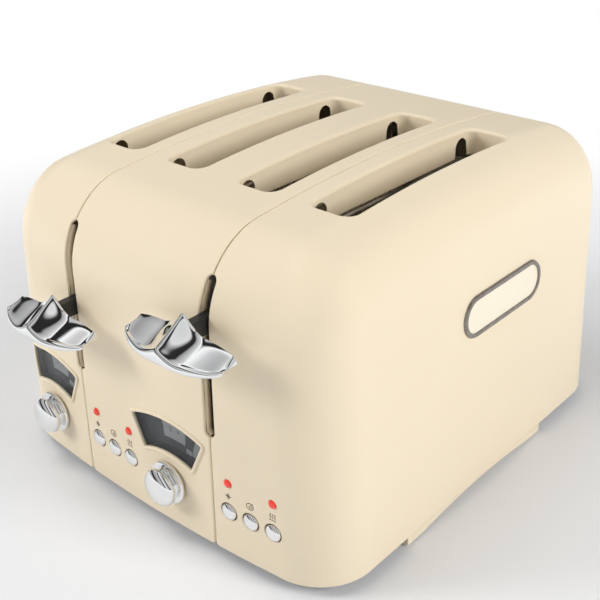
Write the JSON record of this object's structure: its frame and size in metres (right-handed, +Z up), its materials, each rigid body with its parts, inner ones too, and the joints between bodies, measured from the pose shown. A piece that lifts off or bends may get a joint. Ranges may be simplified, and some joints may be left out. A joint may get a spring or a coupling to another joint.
{
  "type": "pop up toaster",
  "caption": "Wide pop-up toaster with a rounded cream casing in joined sections, long bread slots and two chrome lever, knob and button sets.",
  "frame": {"origin": "on the floor under the middle of the whole object's box", "axes": "+Z up, front with levers and knobs towards -Y, +X to the right as seen from the front"},
  "size_m": [0.2672, 0.349, 0.1993],
  "materials": {
    "casing_paint": "satin cream enamel",
    "chrome": "polished",
    "sheet_steel": "plain rolled sheet and wire",
    "rubber": "matt",
    "mica": "mica board wound with flat heating ribbon",
    "black_plastic": "heat-resistant black moulding",
    "copper_coil": "enamelled copper winding on a steel core",
    "board": "printed circuit board with black switches",
    "scale": "printed browning scale",
    "window_glass": "dark tinted glass",
    "lamp_red": "clear red lens",
    "badge_metal": "satin plate with a raised border",
    "ceramic_white": "terminal block"
  },
  "bodies": {
    "body": {"shell_left": "casing_paint", "shell_centre": "casing_paint", "shell_right": "casing_paint", "base_plate": "sheet_steel", "foot_rail_left": "casing_paint", "foot_rail_right": "casing_paint", "feet": "rubber", "base_screws": "sheet_steel", "chassis_front": "sheet_steel", "chassis_back": "sheet_steel", "heater_outer_left": "mica", "heater_mid_left": "mica", "heater_inner_left": "mica", "heater_inner_right": "mica", "heater_mid_right": "mica", "heater_outer_right": "mica", "bread_guide_1": "sheet_steel", "bread_guide_2": "sheet_steel", "bread_guide_3": "sheet_steel", "bread_guide_4": "sheet_steel", "guide_rod_left": "sheet_steel", "guide_rod_right": "sheet_steel", "return_spring_left": "sheet_steel", "return_spring_right": "sheet_steel", "magnet_left": "copper_coil", "magnet_right": "copper_coil", "control_board_left": "board", "control_board_right": "board", "scale_plate_left": "scale", "scale_plate_right": "scale", "window_left": "window_glass", "window_right": "window_glass", "window_frame_left": "casing_paint", "window_frame_right": "casing_paint", "lamps_left": "lamp_red", "lamps_right": "lamp_red", "badge": "badge_metal", "cord_inlet": "black_plastic", "terminal_block": "ceramic_white"},
    "carriage_left": {"carriage_left": "sheet_steel", "lever_stem_left": "black_plastic", "lever_left": "chrome", "armature_left": "sheet_steel"},
    "knob_left": {"knob_left": "chrome", "knob_shaft_left": "sheet_steel"},
    "crumb_tray_left": {"crumb_tray_left": "sheet_steel"},
    "defrost_button_left": {"defrost_button_left": "chrome"},
    "bagel_button_left": {"bagel_button_left": "chrome"},
    "reheat_button_left": {"reheat_button_left": "chrome"},
    "carriage_right": {"carriage_right": "sheet_steel", "lever_stem_right": "black_plastic", "lever_right": "chrome", "armature_right": "sheet_steel"},
    "knob_right": {"knob_right": "chrome", "knob_shaft_right": "sheet_steel"},
    "crumb_tray_right": {"crumb_tray_right": "sheet_steel"},
    "defrost_button_right": {"defrost_button_right": "chrome"},
    "bagel_button_right": {"bagel_button_right": "chrome"},
    "reheat_button_right": {"reheat_button_right": "chrome"}
  },
  "joints": [
    {"name": "lever_slide_left", "type": "slide", "parent": "body", "child": "carriage_left", "axis": [0, 0, 1], "range_m": [-0.0365, 0.0425], "stiffness_N_per_m": 150, "springref_m": 0.01246, "deforming": ["return_spring_left"]},
    {"name": "lever_slide_right", "type": "slide", "parent": "body", "child": "carriage_right", "axis": [0, 0, 1], "range_m": [-0.0625, 0.0165], "stiffness_N_per_m": 150, "springref_m": 0.01246, "deforming": ["return_spring_right"]},
    {"name": "knob_turn_left", "type": "hinge", "parent": "body", "child": "knob_left", "pos_m": [-0.0876, -0.1435, 0.0356], "axis": [0, -1, 0], "range_deg": [-135, 135]},
    {"name": "knob_turn_right", "type": "hinge", "parent": "body", "child": "knob_right", "pos_m": [0.0204, -0.1435, 0.0356], "axis": [0, -1, 0], "range_deg": [-135, 135]},
    {"name": "defrost_press_left", "type": "slide", "parent": "body", "child": "defrost_button_left", "axis": [0, 1, 0], "range_m": [0, 0.002], "stiffness_N_per_m": 400, "springref_m": -0.001},
    {"name": "bagel_press_left", "type": "slide", "parent": "body", "child": "bagel_button_left", "axis": [0, 1, 0], "range_m": [0, 0.002], "stiffness_N_per_m": 400, "springref_m": -0.001},
    {"name": "reheat_press_left", "type": "slide", "parent": "body", "child": "reheat_button_left", "axis": [0, 1, 0], "range_m": [0, 0.002], "stiffness_N_per_m": 400, "springref_m": -0.001},
    {"name": "defrost_press_right", "type": "slide", "parent": "body", "child": "defrost_button_right", "axis": [0, 1, 0], "range_m": [0, 0.002], "stiffness_N_per_m": 400, "springref_m": -0.001},
    {"name": "bagel_press_right", "type": "slide", "parent": "body", "child": "bagel_button_right", "axis": [0, 1, 0], "range_m": [0, 0.002], "stiffness_N_per_m": 400, "springref_m": -0.001},
    {"name": "reheat_press_right", "type": "slide", "parent": "body", "child": "reheat_button_right", "axis": [0, 1, 0], "range_m": [0, 0.002], "stiffness_N_per_m": 400, "springref_m": -0.001},
    {"name": "crumb_tray_slide_left", "type": "slide", "parent": "body", "child": "crumb_tray_left", "axis": [0, 1, 0], "range_m": [0, 0.18]},
    {"name": "crumb_tray_slide_right", "type": "slide", "parent": "body", "child": "crumb_tray_right", "axis": [0, 1, 0], "range_m": [0, 0.18]}
  ]
}
